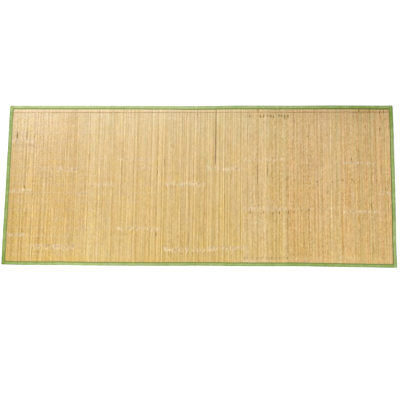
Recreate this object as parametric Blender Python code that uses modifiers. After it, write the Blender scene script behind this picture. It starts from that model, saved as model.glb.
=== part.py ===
"""Bamboo sleeping mat: split bamboo slats side by side, edged with four folded cloth strips.

Metres, +Z up. X runs along the mat's length, and Y runs across it, along the slats.
The origin is the middle of the mat, on the surface that the mat lies on.
"""

from collections import namedtuple

import bmesh
import bpy
import numpy as np

MM = 0.001

# The whole mat, between the mean lines of its opposite sides
MAT_LENGTH = 1826 * MM
MAT_WIDTH = 764 * MM

# Bamboo: flat slats, with a groove between each two on both faces
SLAT_COUNT = 352
SLAT_THICKNESS = 1.5 * MM
SLAT_WIDTH_SPREAD = 0.11
LARGEST_SPREADS = 2
SLAT_SEED = 17
GROOVE_DEPTH = 0.45 * MM
GROOVE_HALF_WIDTH = 0.16
COLUMNS_PER_SLAT = 3

# Binding: cotton cloth with its raw edge tucked under, so each side of the fold is two cloths thick
CLOTH_THICKNESS = 1.0 * MM
BINDING_WIDTH = 16 * MM
FOLD_RADIUS = 1.5 * MM
FOLD_STEPS = 2
CORNER_TURN_LENGTH = 3.0 * MM
CORNER_TURN_IN = 1.2 * MM
STEP_ALONG_BINDING = 58 * MM
PLACES_PER_SIDE = 80

# How the pieces lie to each other
CLEARANCE = 0.3 * MM
PANEL_INSET = FOLD_RADIUS + 1.5 * CLEARANCE
LONG_STRIP_END_INSET = CORNER_TURN_IN + FOLD_RADIUS + 3 * CLEARANCE
LAP_RISE_LENGTH = 5.5 * MM
LAP_LEVEL_LENGTH = 1.5 * MM

PANEL_BOTTOM = CLOTH_THICKNESS + CLEARANCE
PANEL_TOP = PANEL_BOTTOM + SLAT_THICKNESS
BINDING_HEIGHT = PANEL_TOP + CLEARANCE + CLOTH_THICKNESS
LAP_RISE = CLOTH_THICKNESS + CLEARANCE

# Hand-made sides waver. Columns: place along the side, and how far the edge
# stands out of the side's mean line there, both in mm
FAR_SIDE = [(-905, 1.9), (-600, 1.1), (-300, 0.0), (-40, -2.0), (200, 0.2),
            (410, -1.0), (650, 0.0), (830, -1.5), (905, -2.0)]
NEAR_SIDE = [(-905, -0.5), (-850, 1.7), (-400, 1.9), (-160, 1.1), (50, -1.0),
             (170, 0.0), (320, -0.8), (480, -2.2), (650, -0.1), (905, 1.4)]
LEFT_SIDE = [(-380, 1.0), (-309, 2.0), (-149, 0.5), (0, -0.9), (91, -0.7),
             (211, -2.1), (291, -1.4), (380, -2.5)]
RIGHT_SIDE = [(-380, 2.0), (-250, 0.2), (-149, 1.1), (50, 0.4), (200, -0.5),
              (300, -1.8), (380, -3.5)]

# Each side: its waver, half of the mat's size across it, and the outward direction
SIDES = {
    "far": (FAR_SIDE, MAT_WIDTH / 2, (0, 1)),
    "near": (NEAR_SIDE, MAT_WIDTH / 2, (0, -1)),
    "left": (LEFT_SIDE, MAT_LENGTH / 2, (-1, 0)),
    "right": (RIGHT_SIDE, MAT_LENGTH / 2, (1, 0)),
}

# A cut across a strip: its place along the side, how much the lap lifts its upper half, how far
# the corner turns its fold inward, and whether its lower half goes on to the next cut
Cut = namedtuple("Cut", "along lift turned_in lower")

BAMBOO_COLOUR = (0.70, 0.50, 0.23)
BAMBOO_ROUGHNESS = 0.45
CLOTH_COLOUR = (0.43, 0.54, 0.21)
CLOTH_ROUGHNESS = 0.9


def clear_scene():
    """Remove whatever the file holds, so that the mat stands alone."""
    for old in list(bpy.data.objects):
        bpy.data.objects.remove(old, do_unlink=True)


def principled(name, colour, roughness):
    """A plain Principled material."""
    material = bpy.data.materials.new(name)
    material.use_nodes = True
    shader = material.node_tree.nodes["Principled BSDF"]
    shader.inputs["Base Color"].default_value = (*colour, 1)
    shader.inputs["Roughness"].default_value = roughness
    shader.inputs["Metallic"].default_value = 0
    material.diffuse_color = (*colour, 1)
    return material


def edge_distance(side, along):
    """Distance of a side's edge from the mat's middle line, on a smooth curve through its table."""
    table, half_size, _ = SIDES[side]
    rows = np.array(table) * MM
    place = np.clip(along, rows[0, 0], rows[-1, 0])
    row = np.clip(np.searchsorted(rows[:, 0], place, side="right") - 1, 0, len(rows) - 2)
    start_place, start_out = rows[row]
    end_place, end_out = rows[row + 1]
    share = (place - start_place) / (end_place - start_place)
    eased = share * share * (3 - 2 * share)
    return half_size + start_out + (end_out - start_out) * eased


def corner_reach(side, sign):
    """How far a side's strip reaches along it: to the edge of the side that it meets there."""
    _, _, outward = SIDES[side]
    if outward[0]:
        meeting = "far" if sign > 0 else "near"
    else:
        meeting = "right" if sign > 0 else "left"
    corner_along = SIDES[side][1] * (outward[0] + outward[1])
    return sign * edge_distance(meeting, corner_along)


def grid_address(vert, columns, rows):
    """Column and row of a corner of a fresh grid, which reaches from -1 to 1."""
    return round((vert.co.x + 1) / 2 * columns), round((vert.co.y + 1) / 2 * rows)


def grid_object(name, columns, rows, place, keep_face=None):
    """A sheet of columns by rows faces, each corner moved to place(column, row)."""
    sheet = bmesh.new()
    bmesh.ops.create_grid(sheet, x_segments=columns, y_segments=rows, size=1)
    if keep_face:
        dropped = []
        for face in sheet.faces:
            lowest = min(grid_address(vert, columns, rows) for vert in face.verts)
            if not keep_face(*lowest):
                dropped.append(face)
        bmesh.ops.delete(sheet, geom=dropped, context="FACES")
    for vert in sheet.verts:
        vert.co = place(*grid_address(vert, columns, rows))
    mesh = bpy.data.meshes.new(name)
    sheet.to_mesh(mesh)
    sheet.free()
    return bpy.data.objects.new(name, mesh)


def straight_side(side):
    """Ends of the straight line of slats nearest a short side, clear of the binding's fold all along."""
    near_end = corner_reach(side, -1)
    far_end = corner_reach(side, 1)
    places = np.linspace(near_end, far_end, PLACES_PER_SIDE)
    edge = np.array([edge_distance(side, place) for place in places])
    chord = np.linspace(edge[0], edge[-1], len(edge))
    inset = PANEL_INSET + (chord - edge).max()
    return edge[0] - inset, edge[-1] - inset


def slat_edges():
    """Shares of the panel's length at which one slat ends and the next begins."""
    random = np.random.default_rng(SLAT_SEED)
    spreads = np.clip(random.standard_normal(SLAT_COUNT), -LARGEST_SPREADS, LARGEST_SPREADS)
    widths = 1 + SLAT_WIDTH_SPREAD * spreads
    edges = np.concatenate([[0], np.cumsum(widths)])
    return edges / edges[-1]


def slat_columns():
    """Each lengthwise line of the panel: its share of the length, and how deep it lies in a groove."""
    edges = slat_edges()
    lines = [(edges[0], 0)]
    for start, end in zip(edges[:-1], edges[1:]):
        lines.append((start + (end - start) * GROOVE_HALF_WIDTH, 0))
        lines.append((end - (end - start) * GROOVE_HALF_WIDTH, 0))
        lines.append((end, GROOVE_DEPTH))
    lines[-1] = (edges[-1], 0)
    return lines


def make_slat_panel(material):
    """The slats, sewn side by side, as one sheet with a groove between each two on both faces."""
    lines = slat_columns()
    left_near, left_far = straight_side("left")
    right_near, right_far = straight_side("right")

    def place(column, row):
        share, depth = lines[column]
        left, right = (left_far, right_far) if row else (left_near, right_near)
        along = -left + share * (left + right)
        end = edge_distance("far" if row else "near", along) - PANEL_INSET
        return along, end if row else -end, PANEL_TOP - depth

    panel = grid_object("slat_panel", SLAT_COUNT * COLUMNS_PER_SLAT, 1, place)
    solid = bmesh.new()
    solid.from_mesh(panel.data)
    lower_face = bmesh.ops.extrude_face_region(solid, geom=solid.faces[:])["geom"]
    for element in lower_face:
        if isinstance(element, bmesh.types.BMVert):
            element.co.z = PANEL_TOP + PANEL_BOTTOM - element.co.z
    bmesh.ops.recalc_face_normals(solid, faces=solid.faces[:])
    solid.to_mesh(panel.data)
    solid.free()
    panel.data.materials.append(material)
    return panel


def fold_profile():
    """Outside of the folded strip: distance in from the edge, height, and whether the lap lifts it."""
    turns = np.linspace(0, np.pi / 2, FOLD_STEPS + 1)
    lower = [(FOLD_RADIUS * (1 - np.sin(turn)), FOLD_RADIUS * (1 - np.cos(turn)), False) for turn in turns]
    upper = [(inset, BINDING_HEIGHT - height, True) for inset, height, _ in reversed(lower)]
    return [(BINDING_WIDTH, 0, False)] + lower + upper + [(BINDING_WIDTH, BINDING_HEIGHT, True)]


def evenly_between(start, end):
    """Places from start to end, about STEP_ALONG_BINDING apart."""
    steps = max(1, round(abs(end - start) / STEP_ALONG_BINDING))
    return list(np.linspace(start, end, steps + 1))


def make_strip(side, cuts, material):
    """A folded strip along one side, through its cuts."""
    profile = fold_profile()
    _, _, outward = SIDES[side]

    def place(column, row):
        cut = cuts[column]
        inset, height, lifted = profile[row]
        if inset < BINDING_WIDTH:
            inset += cut.turned_in
        if lifted:
            height += cut.lift
        out = edge_distance(side, cut.along) - inset
        x = outward[0] * out + abs(outward[1]) * cut.along
        y = outward[1] * out + abs(outward[0]) * cut.along
        return x, y, height

    def keep_face(column, row):
        return row > 0 or cuts[column].lower

    strip = grid_object(f"binding_{side}", len(cuts) - 1, len(profile) - 1, place, keep_face)
    fold = strip.modifiers.new("Cloth thickness", "SOLIDIFY")
    fold.thickness = CLOTH_THICKNESS
    fold.offset = 1 if side in ("far", "left") else -1
    fold.use_even_offset = True
    strip.data.materials.append(material)
    return strip


def make_long_strip(side, material):
    """Far or near strip: it ends just inside the folds of the two short strips."""
    left = corner_reach(side, -1) + LONG_STRIP_END_INSET
    right = corner_reach(side, 1) - LONG_STRIP_END_INSET
    cuts = [Cut(along, lift=0, turned_in=0, lower=True) for along in evenly_between(left, right)]
    return make_strip(side, cuts, material)


def lap_cuts(end, inward):
    """A short strip's cuts over a long strip, from its end to the foot of the rise.

    Under the long strip there is only the floor, so there the lower half is left out.
    """
    lap = end + inward * (BINDING_WIDTH + CLEARANCE)
    rise = lap + inward * LAP_LEVEL_LENGTH
    foot = rise + inward * LAP_RISE_LENGTH
    cuts = [
        Cut(end, LAP_RISE, CORNER_TURN_IN, lower=False),
        Cut(end + inward * CORNER_TURN_LENGTH, LAP_RISE, turned_in=0, lower=False),
        Cut(lap, LAP_RISE, turned_in=0, lower=inward > 0),
        Cut(rise, LAP_RISE, turned_in=0, lower=True),
    ]
    return cuts, foot


def make_short_strip(side, material):
    """Left or right strip: sewn on last, so its ends rise and lap over the long strips."""
    near_cuts, near_foot = lap_cuts(corner_reach(side, -1), 1)
    far_cuts, far_foot = lap_cuts(corner_reach(side, 1), -1)
    middle = [Cut(along, lift=0, turned_in=0, lower=True) for along in evenly_between(near_foot, far_foot)]
    return make_strip(side, near_cuts + middle + far_cuts[::-1], material)


def main():
    clear_scene()
    mat = bpy.data.collections.new("Bamboo sleeping mat")
    bpy.context.scene.collection.children.link(mat)
    bamboo = principled("bamboo", BAMBOO_COLOUR, BAMBOO_ROUGHNESS)
    cloth = principled("binding_cloth", CLOTH_COLOUR, CLOTH_ROUGHNESS)
    pieces = [
        make_slat_panel(bamboo),
        make_long_strip("far", cloth),
        make_long_strip("near", cloth),
        make_short_strip("left", cloth),
        make_short_strip("right", cloth),
    ]
    for piece in pieces:
        mat.objects.link(piece)


main()
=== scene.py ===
import math

import bpy
import numpy as np
from mathutils import Matrix, Vector


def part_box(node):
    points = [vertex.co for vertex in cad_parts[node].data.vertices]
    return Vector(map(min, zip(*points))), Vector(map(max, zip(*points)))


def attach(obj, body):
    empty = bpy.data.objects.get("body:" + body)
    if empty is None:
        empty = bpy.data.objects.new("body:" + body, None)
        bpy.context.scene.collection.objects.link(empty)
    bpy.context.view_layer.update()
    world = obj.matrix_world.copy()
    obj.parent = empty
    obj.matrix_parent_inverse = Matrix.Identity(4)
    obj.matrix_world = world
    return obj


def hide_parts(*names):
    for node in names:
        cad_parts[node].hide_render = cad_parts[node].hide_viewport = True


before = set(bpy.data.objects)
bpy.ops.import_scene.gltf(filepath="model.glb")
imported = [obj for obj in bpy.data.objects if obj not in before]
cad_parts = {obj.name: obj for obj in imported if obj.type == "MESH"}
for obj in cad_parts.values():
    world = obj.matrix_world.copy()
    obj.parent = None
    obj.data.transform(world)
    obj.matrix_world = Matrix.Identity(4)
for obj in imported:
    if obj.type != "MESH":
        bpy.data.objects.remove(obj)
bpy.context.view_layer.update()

MM = 0.001


# Bamboo slats. The mat's body is some 350 slats, split from eighteen culms and planed flat, which
# lie side by side across it. Slats from one culm lie together, so their nodes come in line.
# They are not glued: the rows of thread further down hold them.

panel_low, panel_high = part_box("slat_panel")
SLAT_THICKNESS = panel_high.z - panel_low.z
GROOVE_DEPTH = 0.2 * MM

# A slat's section, once round. Columns: the edge that a point is measured from (-1 left, 1 right,
# 0 the middle), how far in from it, the face it is measured from (0 bottom, 1 top), height from there,
# and the share of a gap's opening that it takes, as a gap is wide at the top and narrow below
SLAT_SECTION = [
    (-1, 0.25, 0, 0.00, 0.1), (1, 0.25, 0, 0.00, 0.1), (1, 0.00, 0, 0.35, 0.1), (1, 0.04, 1, -0.42, 1),
    (1, 0.42, 1, -0.13, 1), (0, 0.00, 1, 0.00, 0), (-1, 0.42, 1, -0.13, 1), (-1, 0.04, 1, -0.42, 1),
    (-1, 0.00, 0, 0.35, 0.1),
]
ROWS_PER_SLAT = 31
END_UNEVENNESS = 1.5 * MM

# The section's two upright sides, painted dark brown: partly their rougher unplaned bamboo, partly painted
# shade, so that the gaps between slats look shaded
SIDE_FACES = (1, 2, 7, 8)

# The narrow gap at each seam, which comes and goes along it, and how far a seam bends
NARROWEST_GAP = 0.05 * MM
GAP_SPREAD = 0.30 * MM
GAP_SWING = 0.6
GAP_WAVE = 340 * MM
WANDER = 0.22 * MM
WANDER_LENGTH = 460 * MM

# Length over which a wider gap opens at each end, and the most that it takes of a short one
GAP_RAMP = 25 * MM
GAP_RAMP_SHARE = 0.3

# How the slats lie: slow waves over the whole mat, which fade out towards its edges, and each slat's
# own lift and tilt. Columns of the waves: height, radians per metre along the mat and across it, start
LAY_HEIGHT = 0.22 * MM
LAY_WAVES = [(1.0, 7.3, 5.1, 0.4), (0.7, 11.0, -9.0, math.pi / 2), (0.5, 23.0, 2.0, 0.0)]
LEVEL_UNTIL = 20 * MM
WAVY_FROM = 100 * MM
SLAT_LIFT = 0.08 * MM
SLAT_TILT = 0.035

# How much thicker a slat is at its nodes, from the least to the most, and how many times its half
# height a node reaches
NODE_SWELL = (0.06 * MM, 0.144 * MM)
NODE_REACH = 1.3

# The rows of thread, beside which the bamboo is bleached: how far apart, and the middle one's place
ROW_PITCH = 41.8 * MM
ROW_OFFSET = 1.5 * MM

# Culms, from the left. Columns: where the culm's slats end, in mm; then, at the far ends of its
# slats and at their near ends, how light they are and how warm (-1 straw, 1 caramel); and how rosy
# Their far ends are less warm than their near ones: partly the culms' own tone, partly painted sheen, which
# pales the far side
CULMS = [
    (-862, 0.92, -0.55, 0.85, 1.45, -0.35), (-793, 0.97, -0.45, 0.96, 1.35, 0.0),
    (-691, 0.95, -0.75, 0.98, 1.35, 0.1), (-575, 0.90, -0.20, 1.02, 1.05, 0.1),
    (-512, 0.96, -0.80, 1.02, 0.80, -0.1), (-392, 1.00, -0.55, 1.05, 0.20, -0.3),
    (-280, 1.01, -0.75, 1.02, 0.60, -0.1), (-160, 1.06, -0.80, 1.00, 0.75, -0.1),
    (40, 1.04, -0.95, 0.95, 0.75, -0.2), (213, 1.05, -0.85, 0.96, 0.75, -0.3),
    (330, 1.05, -0.90, 1.03, -0.20, 0.0), (397, 0.96, -0.90, 0.94, 0.75, -0.2),
    (421, 1.00, -1.10, 1.01, 0.20, -0.4), (520, 1.02, -0.90, 0.90, 0.65, 0.65),
    (662, 0.99, -1.10, 0.97, 0.20, 0.4), (834, 0.95, -0.80, 0.97, 0.55, 0.45),
    (872, 0.97, -0.65, 0.94, 0.20, 0.6), (920, 1.06, -0.40, 1.05, 0.15, 0.2),
]

# Slats that stand out. Columns: place in mm, how light and, where it isn't plain, how warm and how rosy
NOTED_SLATS = [
    (-881, 1.05, 0.4, 0.8), (-872, 0.90), (-825, 0.86), (-746, 0.83), (-732, 1.13), (-704, 0.90),
    (-681, 1.12), (-629, 0.88), (-592, 0.90), (-501, 1.10), (-449, 0.85), (-414, 1.10),
    (-404, 0.84, 0.3, 0), (-368, 1.16), (-358, 0.88), (-334, 1.15), (-283, 0.80), (-192, 0.85),
    (-160, 0.88), (-136, 1.12, -0.3, 0), (-69, 0.85), (-52, 1.14), (-43, 0.83, -0.2, 0), (-31, 1.13),
    (-15, 1.20), (6, 0.85), (31, 0.83), (57, 1.17), (67, 0.90, 0, -0.3), (148, 0.84, 0.3, 0), (216, 1.09),
    (265, 1.06), (279, 0.84), (312, 1.09), (380, 0.90, 0.3, -0.2), (402, 1.12, -0.2, -0.6), (417, 0.83),
    (427, 1.10, 0.3, 0.6), (446, 0.86, 0, 0.5), (494, 0.88), (516, 0.85), (594, 1.15), (622, 1.30, 0, -0.3),
    (669, 0.87), (679, 1.13, 0, -0.3), (718, 1.15, 0, -0.8), (751, 0.87), (788, 1.13, 0.2, 0.7),
    (804, 0.85, -0.3, -0.4), (814, 1.06, 0, -0.5), (830, 0.90, 0.2, -0.8), (840, 1.07), (886, 1.06, 0, 0.8),
]

# Nodes and stains across a culm's slats. Columns, in mm: from and to along the mat, place across it,
# half of the mark's height; then how pale it is, or how dark if below 0
NODES = [
    (-900, -790, 212, 9, 1.20), (-890, -780, 189, 6, -0.30), (-900, -785, -30, 8, 0.80),
    (-900, -805, -241, 8, 1.00), (-810, -690, -78, 8, 0.08), (-785, -570, -298, 13, 0.65),
    (-690, -590, 128, 6, 0.28), (-760, -570, 70, 10, 0.75), (-800, -600, -245, 5, 0.32),
    (-575, -515, -45, 8, 0.55), (-512, -392, -3, 9, 0.70), (-392, -215, 120, 6, 0.45),
    (-270, -160, 80, 6, 0.20), (-385, -170, -208, 8, 0.80), (-158, 38, 2, 8, 1.00),
    (-160, 40, -307, 10, 0.85), (-150, -90, 320, 6, 0.50), (40, 213, 78, 10, 0.60),
    (42, 213, -300, 10, 0.80), (213, 420, 120, 8, 0.50), (213, 420, 333, 8, -0.12),
    (213, 420, -113, 8, 0.75), (213, 420, -133, 5, -0.14), (213, 420, -343, 5, -0.35),
    (213, 275, -360, 6, 0.60), (421, 662, -110, 6, 0.25), (421, 662, 130, 5, 0.20),
    (665, 833, 105, 5, 1.10), (665, 840, -125, 6, 0.85), (665, 840, -335, 8, 0.15),
    (834, 900, -38, 8, 0.65),
]

# Gaps and chips at the seams between slats. Columns, in mm: place along the mat; from and to across
# it; how far it opens
GAPS = [
    (80, 88, 400, 2.7), (-870, 218, 262, 1.4), (-825, 213, 262, 1.8), (-785, 218, 242, 1.5),
    (-811, -162, -123, 1.1), (-826, -237, -213, 1.2), (-163, 83, 132, 1.5), (278, -3, 112, 1.6),
    (283, -110, -90, 1.4), (322, 33, 102, 1.9), (-40, -273, -222, 1.2), (420, -342, -123, 0.9),
    (885, -33, 33, 1.3), (-55, 329, 351, 1.5), (-8, 329, 351, 1.5), (-683, 343, 365, 1.4),
    (-477, 343, 365, 1.4), (-410, 343, 365, 1.4),
]

# Dark spots, each on one slat. Columns, in mm: place along the mat, place across it, half of the
# spot's height; then how dark it is
SPOTS = [
    (404, 328, 12, 2.2), (304, 330, 7, 1.3), (848, 266, 7, 1.1), (868, 352, 10, 1.3), (418, 332, 7, 1.7),
    (382, -132, 7, 1.4), (418, -344, 7, 1.3), (354, 328, 7, 1.2), (288, 330, 7, 2.2), (420, -130, 7, 0.9),
    (714, 124, 8, 1.6), (-822, -14, 9, 0.8), (344, 330, 6, 1.1), (848, 346, 8, 1.1), (342, -344, 6, 1.1),
    (-192, 58, 8, 0.60), (390, 332, 6, 0.9), (222, -346, 6, 1.4), (514, -121, 7, 0.6), (240, 330, 6, 0.7),
    (-194, -236, 9, 0.6), (804, -98, 16, 0.5), (870, -18, 9, 0.5), (752, 358, 7, 1.6), (282, 359, 6, 2.0),
    (305, -130, 6, 0.6), (245, -130, 6, 0.6), (555, 14, 6, 0.8), (-868, 238, 14, 0.8), (802, 359, 6, 0.9),
    (378, 334, 6, 0.9), (324, 332, 6, 0.7), (334, 334, 5, 0.6), (446, -128, 6, 0.7), (348, -136, 6, 0.6),
    (380, -344, 6, 0.5), (276, -346, 6, 0.5), (482, -120, 6, 0.5), (676, 23, 5, 0.6), (714, 25, 5, 0.6),
    (728, 17, 5, 0.6), (830, 23, 5, 0.5), (626, 15, 5, 0.5), (654, 21, 5, 0.5),
]

random = np.random.default_rng(352)


def uneven(places, spacing):
    """Smooth random values from -1 to 1 at these places, with a new one about every spacing."""
    knots = np.arange(places.min() - spacing, places.max() + 3 * spacing, spacing)
    values = random.uniform(-1, 1, len(knots))
    step = (places - knots[0]) / spacing
    before = step.astype(int)
    share = step - before
    eased = share * share * (3 - 2 * share)
    return values[before] + (values[before + 1] - values[before]) * eased


def eased_step(value, start, end):
    """0 before start, 1 after end, and smooth between them."""
    share = np.clip((value - start) / (end - start), 0, 1)
    return share * share * (3 - 2 * share)


def seam_row(side):
    """Ends of the seams between the frame's slats, along the far side (1) or the near side (-1)."""
    corners = np.unique(np.round([vert.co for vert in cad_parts["slat_panel"].data.vertices], 6), axis=0)
    row = corners[(corners[:, 1] * side > 0) & (corners[:, 2] > (panel_low.z + panel_high.z) / 2)]
    in_groove = row[:, 2] < panel_high.z - GROOVE_DEPTH
    in_groove[[0, -1]] = True
    return row[in_groove, :2]


near_seams = seam_row(-1)
far_seams = seam_row(1)
SEAM_COUNT = len(near_seams)
SLAT_COUNT = SEAM_COUNT - 1
slats = np.arange(SLAT_COUNT)
slat_places = (near_seams[:-1, 0] + near_seams[1:, 0] + far_seams[:-1, 0] + far_seams[1:, 0]) / 4

seam_phase = random.uniform(0, math.tau, SEAM_COUNT)
seam_gap = NARROWEST_GAP + GAP_SPREAD * random.random(SEAM_COUNT) ** 3
slat_lift = random.normal(0, SLAT_LIFT / 2, SLAT_COUNT)
slat_tilt = random.normal(0, SLAT_TILT / 2, SLAT_COUNT)
slat_seed = random.random(SLAT_COUNT)


def seam_line(seam, y):
    """Where a seam runs at y: between its two ends in the frame, a little bent."""
    near, far = near_seams[seam], far_seams[seam]
    share = (y - near[..., 1]) / (far[..., 1] - near[..., 1])
    bend = WANDER * np.sin(math.tau * y / WANDER_LENGTH + seam_phase[seam])
    return near[..., 0] + (far[..., 0] - near[..., 0]) * share + bend


def seam_width(seam, y):
    """Width of the narrow gap at a seam, which comes and goes a little along it."""
    return seam_gap[seam] * (1 + GAP_SWING * np.sin(math.tau * y / GAP_WAVE + 3 * seam_phase[seam]))


seam_gaps = {}
for place, *gap in GAPS:
    start, end, opening = np.array(gap) * MM
    seams = seam_line(np.arange(SEAM_COUNT), (start + end) / 2)
    seam_gaps.setdefault(int(np.argmin(abs(seams - place * MM))), []).append((start, end, opening))


def gap_ramp(start, end):
    """Length over which a gap opens at each of its ends."""
    return min(GAP_RAMP, (end - start) * GAP_RAMP_SHARE)


def opened(seam, y):
    """How much wider than the usual narrow gap a seam is."""
    width = np.zeros(len(y))
    for start, end, opening in seam_gaps.get(seam, []):
        ramp = gap_ramp(start, end)
        width += opening * eased_step(y, start, start + ramp) * (1 - eased_step(y, end - ramp, end))
    return width


def lay(x, y):
    """How far the slats lie above or below their place in the frame: the mat isn't quite level."""
    inwards = eased_step(panel_high.x - abs(x), LEVEL_UNTIL, WAVY_FROM)
    inwards = inwards * eased_step(panel_high.y - abs(y), LEVEL_UNTIL, WAVY_FROM)
    waves = sum(high * np.sin(along * x + across * y + start) for high, along, across, start in LAY_WAVES)
    return LAY_HEIGHT * inwards * waves / 2


def slat_rows(slat):
    """Places of a slat's rows of points: at its ends, nodes and gaps, and evenly between them."""
    far_end = far_seams[slat:slat + 2, 1].min() - END_UNEVENNESS * random.random()
    near_end = near_seams[slat:slat + 2, 1].max() + END_UNEVENNESS * random.random()
    rows = [near_end, far_end]
    for start, end, place, half_height, _ in NODES:
        if start * MM < slat_places[slat] < end * MM:
            rows += [place * MM + step * half_height * MM for step in (-NODE_REACH, 0, NODE_REACH)]
    for seam in (slat, slat + 1):
        for start, end, _ in seam_gaps.get(seam, []):
            rows += [start, start + gap_ramp(start, end), end - gap_ramp(start, end), end]
    rows = sorted(row for row in rows if near_end <= row <= far_end)
    while len(rows) < ROWS_PER_SLAT:
        widest = int(np.argmax(np.diff(rows)))
        rows.insert(widest + 1, (rows[widest] + rows[widest + 1]) / 2)
    return rows[:ROWS_PER_SLAT - 1] + rows[-1:]


row_places = np.array([slat_rows(slat) for slat in slats])
left_edges = seam_line(slats[:, None], row_places) + seam_width(slats[:, None], row_places) / 2
right_edges = seam_line(slats[:, None] + 1, row_places) - seam_width(slats[:, None] + 1, row_places) / 2
left_openings = np.array([opened(slat, row_places[slat]) for slat in slats]) / 2
right_openings = np.array([opened(slat + 1, row_places[slat]) for slat in slats]) / 2
middles = (left_edges + left_openings + right_edges - right_openings) / 2

swell = np.zeros_like(row_places)
for start, end, place, half_height, shade in NODES:
    on_culm = (slat_places > start * MM) & (slat_places < end * MM)
    near_node = np.exp(-((row_places - place * MM) / (half_height * MM)) ** 2)
    swell += on_culm[:, None] * near_node * max(shade, 0)
swell *= random.uniform(*NODE_SWELL, SLAT_COUNT)[:, None]


def underside(slat, x, y):
    """Height of a slat's underside."""
    centre = slat_places[slat]
    return panel_low.z + lay(centre, y) + slat_lift[slat] + slat_tilt[slat] * (x - centre)


slat_points = []
for edge, inset, face, height, opening_share in SLAT_SECTION:
    opening = {-1: left_openings, 0: 0, 1: right_openings}[edge] * opening_share
    along_mat = {-1: left_edges, 0: middles, 1: right_edges}[edge] - edge * (inset * MM + opening)
    level = underside(slats[:, None], along_mat, row_places) + height * MM
    slat_points.append(np.stack([along_mat, row_places, level + face * (SLAT_THICKNESS + swell)], axis=-1))
slat_points = np.stack(slat_points, axis=2)


def tube_faces(tubes, rings, around):
    """Sides and ends of so many tubes, each of so many rings of points. Returns the two lists."""
    ring, point = np.meshgrid(np.arange(rings - 1), np.arange(around), indexing="ij")
    after = (point + 1) % around
    side = np.stack([ring * around + point, (ring + 1) * around + point,
                     (ring + 1) * around + after, ring * around + after], axis=-1).reshape(-1, 4)
    end = np.stack([np.arange(around), (rings * around - 1) - np.arange(around)])
    first = np.arange(tubes)[:, None, None] * rings * around
    return (side + first).reshape(-1, 4).tolist(), (end + first).reshape(-1, around).tolist()


def mesh_piece(name, points, faces, material, sharp=40):
    """One piece of the mat from its points and faces, smooth but for its sharp edges."""
    mesh = bpy.data.meshes.new(name)
    mesh.from_pydata(np.reshape(points, (-1, 3)).tolist(), [], faces)
    mesh.shade_smooth()
    mesh.set_sharp_from_angle(angle=math.radians(sharp))
    mesh.materials.append(material)
    piece = bpy.data.objects.new(name, mesh)
    bpy.context.scene.collection.objects.link(piece)
    return piece


def note(piece, name, values, kind="FLOAT", domain="POINT"):
    """Write a value for each point or face of a piece, for its material to read."""
    attribute = piece.data.attributes.new(name, kind, domain)
    field = "vector" if kind == "FLOAT_VECTOR" else "value"
    attribute.data.foreach_set(field, np.ravel(values).astype(np.float32))


def join(value, socket):
    """Give a socket a number, a colour or another node's output."""
    if isinstance(value, bpy.types.NodeSocket):
        socket.id_data.links.new(value, socket)
    else:
        socket.default_value = value


def node_for(kind, values, sockets=(0, 1, 2), **settings):
    """A new node with these values in these sockets, in the node tree that the values come from."""
    tree = next(value.id_data for value in values if isinstance(value, bpy.types.NodeSocket))
    node = tree.nodes.new(f"ShaderNode{kind}")
    for name, setting in settings.items():
        setattr(node, name, setting)
    for value, socket in zip(values, sockets):
        join(value, node.inputs[socket])
    return node


def calc(operation, *values, kind="Math"):
    """Output of a Math node, or of a VectorMath node, on these values."""
    return node_for(kind, values, operation=operation).outputs[0]


def times(first, second):
    """Product of two values."""
    return calc("MULTIPLY", first, second)


def parted(vector):
    """The three parts of a vector: along the mat, across it and upwards, or those of a tone."""
    return node_for("SeparateXYZ", [vector]).outputs


def eased_mask(value, start, end):
    """A mask that goes smoothly from 0 at start to 1 at end."""
    sockets = ("Value", "From Min", "From Max")
    return node_for("MapRange", (value, start, end), sockets, interpolation_type="SMOOTHSTEP").outputs[0]


def mixed(share, first, second, blend="MIX"):
    """Output of a colour Mix node."""
    return node_for("Mix", (share, first, second), (0, 6, 7),
                    clamp_factor=False, data_type="RGBA", blend_type=blend).outputs[2]


def noise(place, detail=2.0, output="Fac"):
    """Output of a Noise node at a place that is already stretched to the pattern's size."""
    return node_for("TexNoise", (place, 1.0, detail), ("Vector", "Scale", "Detail")).outputs[output]


def stretched(place, per_metre, shift=(0, 0, 0)):
    """A place times so many repeats per metre each way, and shifted."""
    return calc("MULTIPLY_ADD", place, per_metre, shift, kind="VectorMath")


def noted(tree, name, output="Fac"):
    """A value that the piece's mesh holds."""
    node = tree.nodes.new("ShaderNodeAttribute")
    node.attribute_name = name
    return node.outputs[output]


def new_group(name, inputs, outputs):
    """An empty node group with these named sockets. Returns it, its input node and its output node."""
    tree = bpy.data.node_groups.new(name, "ShaderNodeTree")
    for in_out, sockets in (("INPUT", inputs), ("OUTPUT", outputs)):
        for socket_name, kind in sockets.items():
            tree.interface.new_socket(socket_name, in_out=in_out, socket_type=f"NodeSocket{kind}")
    return tree, tree.nodes.new("NodeGroupInput").outputs, tree.nodes.new("NodeGroupOutput").inputs


def placed(group, **values):
    """A group in a material, with its own values. Returns its outputs."""
    return node_for("Group", values.values(), values.keys(), node_tree=group).outputs


def fresh_material(name):
    """A new node material. Returns it, its tree, its shader's inputs and the piece's own coordinates."""
    material = bpy.data.materials.new(name)
    material.use_nodes = True
    tree = material.node_tree
    place = tree.nodes.new("ShaderNodeTexCoord").outputs["Object"]
    return material, tree, tree.nodes["Principled BSDF"].inputs, place


def bumped(shader, height, depth):
    """Give a shader a bump of this depth in metres."""
    bump = node_for("Bump", (height, depth), ("Height", "Distance"))
    join(bump.outputs["Normal"], shader["Normal"])


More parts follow.
